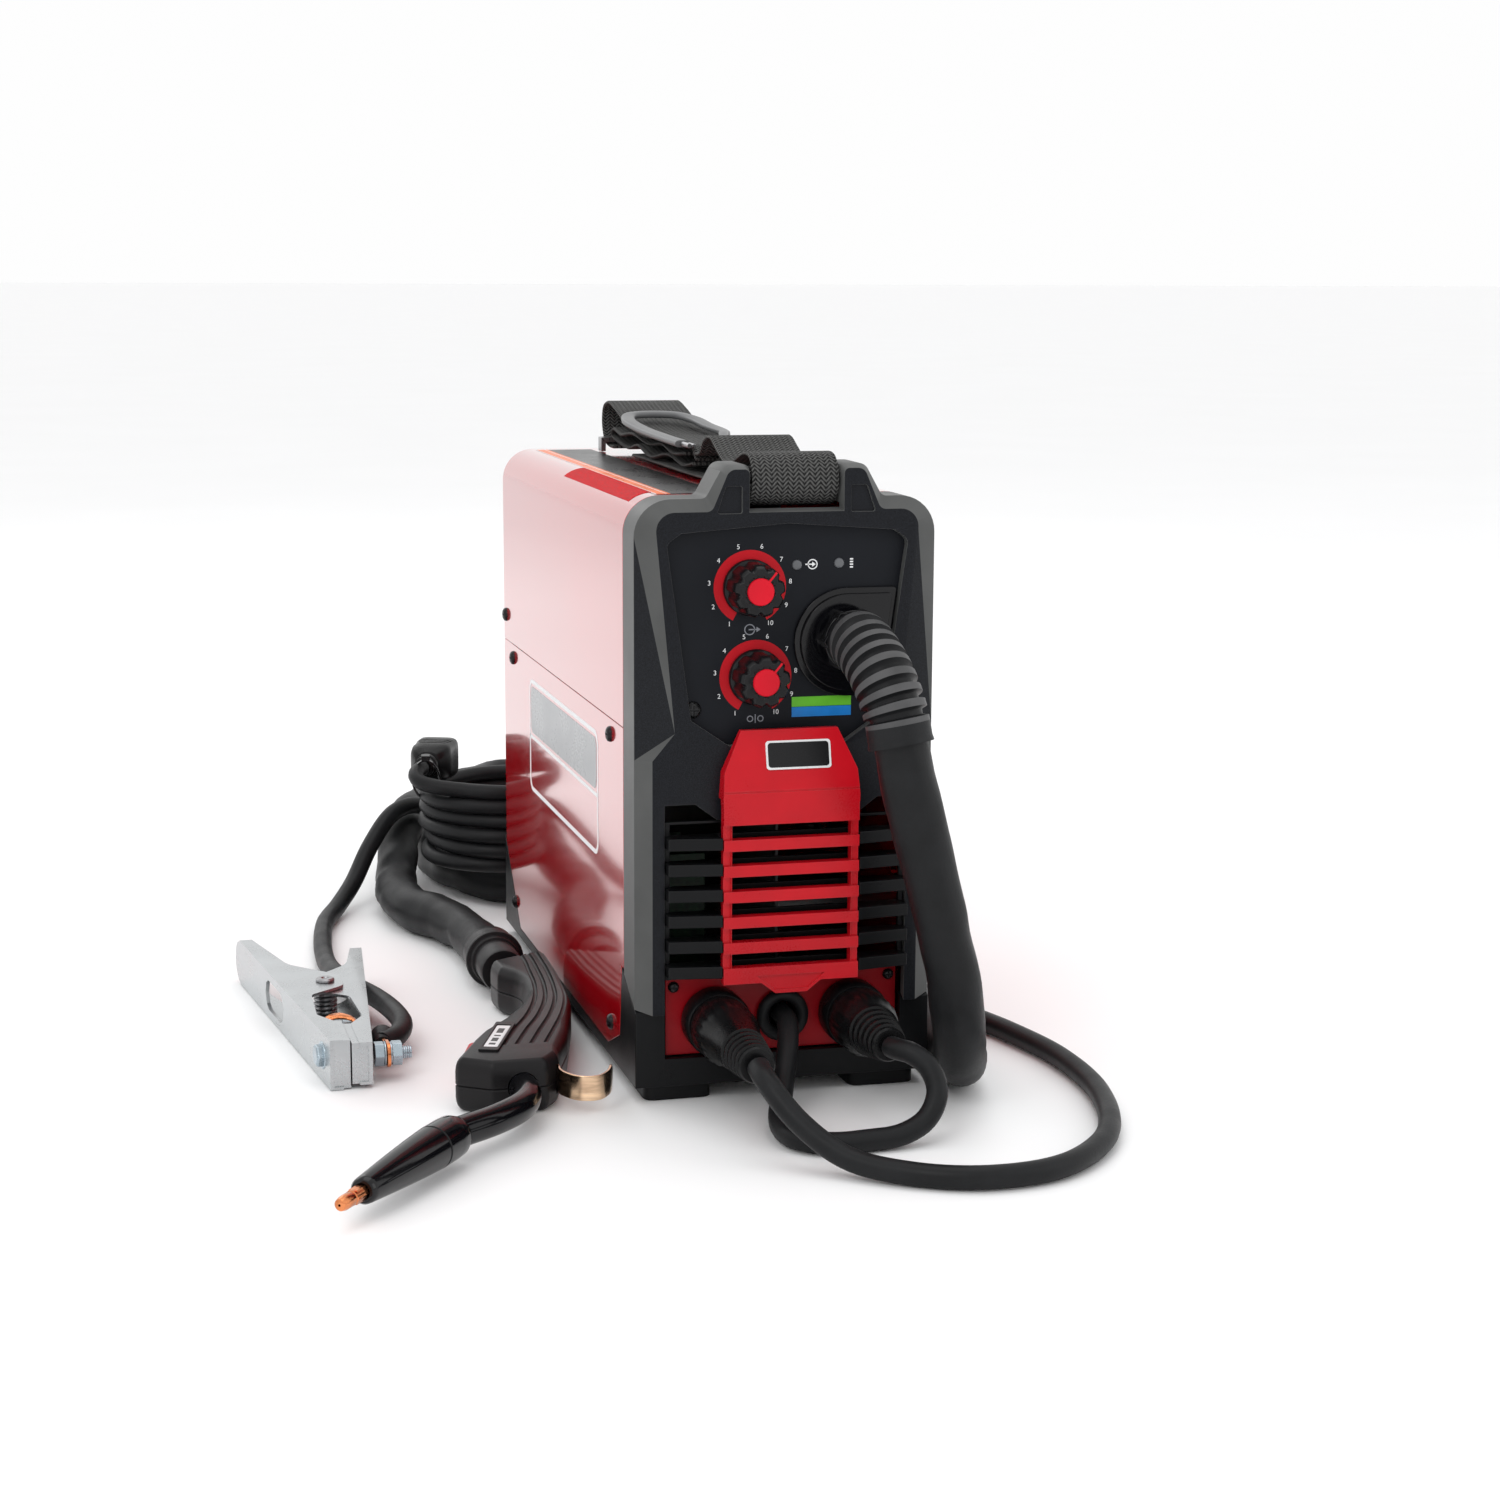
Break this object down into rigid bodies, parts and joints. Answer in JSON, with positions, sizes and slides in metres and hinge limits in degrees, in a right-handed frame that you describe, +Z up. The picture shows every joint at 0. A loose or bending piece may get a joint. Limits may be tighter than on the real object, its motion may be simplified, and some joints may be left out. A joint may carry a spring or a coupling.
{
  "type": "portable welder",
  "caption": "Compact wire-feed inverter welder with carry strap, torch on a coiled hose-like cable, sprung work clamp, polarity lead and mains cord.",
  "frame": {"origin": "on the floor under the middle of the machine, leads not counted", "axes": "+Z up, the front with the controls faces -Y, the wire door is on +X"},
  "size_m": [0.4506, 0.8603, 0.3257],
  "materials": {
    "red_paint": "gloss powder coat",
    "case_plastic": "fine texture",
    "panel_plastic": "matt",
    "red_plastic": "semi gloss",
    "socket_plastic": "satin",
    "torch_plastic": "satin",
    "gloss_black": "gloss",
    "rubber": "satin rubber",
    "zinc": "zinc plated",
    "steel": "machined",
    "copper": "bright copper",
    "brass": "machined",
    "webbing": "woven polyester",
    "grey_plastic": "satin",
    "circuit": "solder mask",
    "spool_plastic": "satin"
  },
  "bodies": {
    "machine": {"lower_shell": "red_paint", "top_cover": "red_paint", "rear_panel": "red_paint", "base_tray": "case_plastic", "front_bezel": "case_plastic", "louvre_panel": "case_plastic", "fan_frame": "case_plastic", "mains_cord_gland": "case_plastic", "gun_gland": "case_plastic", "control_panel": "panel_plastic", "grille_insert": "red_plastic", "socket_panel": "red_plastic", "negative_socket": "socket_plastic", "positive_socket": "socket_plastic", "gun_handle_lower": "torch_plastic", "gun_handle_upper": "torch_plastic", "gun_neck": "gloss_black", "gun_nozzle": "gloss_black", "gun_strain_relief": "rubber", "gun_cable_front": "rubber", "gun_cable_coil": "rubber", "gun_cable_rear": "rubber", "work_plug": "rubber", "work_lead_front": "rubber", "work_lead_coil": "rubber", "work_lead_rear": "rubber", "polarity_lead": "rubber", "polarity_plug": "rubber", "mains_cord": "rubber", "mains_cord_coil": "rubber", "mains_cord_end": "rubber", "mains_plug": "rubber", "clamp_right_arm": "zinc", "clamp_bolt": "zinc", "centre_partition": "zinc", "door_hinge_rod": "steel", "front_handle_bar": "steel", "rear_strap_bracket": "steel", "clamp_spring": "steel", "clamp_pivot": "steel", "drive_motor": "steel", "gun_contact_tip": "copper", "gun_hook": "copper", "gas_inlet": "brass", "carry_strap": "webbing", "strap_slider": "grey_plastic", "control_board": "circuit", "power_board": "circuit"},
    "side_door": {"side_door": "red_paint"},
    "door_latch": {"door_latch": "case_plastic"},
    "voltage_knob": {"voltage_knob": "panel_plastic"},
    "wire_speed_knob": {"wire_speed_knob": "panel_plastic"},
    "power_switch": {"power_switch": "case_plastic"},
    "gun_trigger": {"gun_trigger": "red_plastic"},
    "clamp_left_arm": {"clamp_left_arm": "zinc"},
    "fan_rotor": {"fan_rotor": "case_plastic"},
    "wire_spool": {"wire_spool": "spool_plastic"},
    "drive_roll": {"drive_roll": "steel"},
    "pressure_arm": {"pressure_arm": "zinc"},
    "idler_roll": {"idler_roll": "steel"}
  },
  "joints": [
    {"name": "door_hinge", "type": "hinge", "parent": "machine", "child": "side_door", "pos_m": [0.0725, 0, 0.261], "axis": [0, -1, 0], "range_deg": [0, 95]},
    {"name": "latch_turn", "type": "hinge", "parent": "side_door", "child": "door_latch", "pos_m": [0.0735, 0.015, 0.114], "axis": [1, 0, 0], "range_deg": [0, 90]},
    {"name": "voltage_knob_turn", "type": "hinge", "parent": "machine", "child": "voltage_knob", "pos_m": [-0.0178, -0.18, 0.2531], "axis": [0, 1, 0], "range_deg": [-190, 110]},
    {"name": "wire_speed_knob_turn", "type": "hinge", "parent": "machine", "child": "wire_speed_knob", "pos_m": [-0.0148, -0.18, 0.2096], "axis": [0, 1, 0], "range_deg": [-190, 110]},
    {"name": "power_switch_rock", "type": "hinge", "parent": "machine", "child": "power_switch", "pos_m": [0.0255, 0.18, 0.219], "axis": [-1, 0, 0], "range_deg": [0, 16]},
    {"name": "gun_trigger_pull", "type": "slide", "parent": "machine", "child": "gun_trigger", "axis": [0.8944, -0.4472, 0], "range_m": [0, 0.004], "stiffness_N_per_m": 600, "springref_m": -0.002},
    {"name": "clamp_open", "type": "hinge", "parent": "machine", "child": "clamp_left_arm", "pos_m": [-0.2065, 0.004, 0.013], "axis": [0, 0, -1], "range_deg": [0, 18], "stiffness_Nm_per_rad": 3, "springref_deg": -28.65},
    {"name": "fan_spin", "type": "hinge", "parent": "machine", "child": "fan_rotor", "pos_m": [-0.0345, 0.159, 0.078], "axis": [0, 1, 0], "continuous": true},
    {"name": "spool_spin", "type": "hinge", "parent": "machine", "child": "wire_spool", "pos_m": [0.032, 0.08, 0.18], "axis": [1, 0, 0], "continuous": true},
    {"name": "drive_spin", "type": "hinge", "parent": "machine", "child": "drive_roll", "pos_m": [0.031, -0.07, 0.213], "axis": [1, 0, 0], "continuous": true},
    {"name": "pressure_arm_lift", "type": "hinge", "parent": "machine", "child": "pressure_arm", "pos_m": [0.039, -0.034, 0.242], "axis": [-1, 0, 0], "range_deg": [0, 25]},
    {"name": "idler_spin", "type": "hinge", "parent": "pressure_arm", "child": "idler_roll", "pos_m": [0.031, -0.07, 0.2394], "axis": [1, 0, 0], "continuous": true}
  ],
  "couplings": [
    {"joint": "idler_spin", "follows": "drive_spin", "ratio": -1.1667}
  ]
}
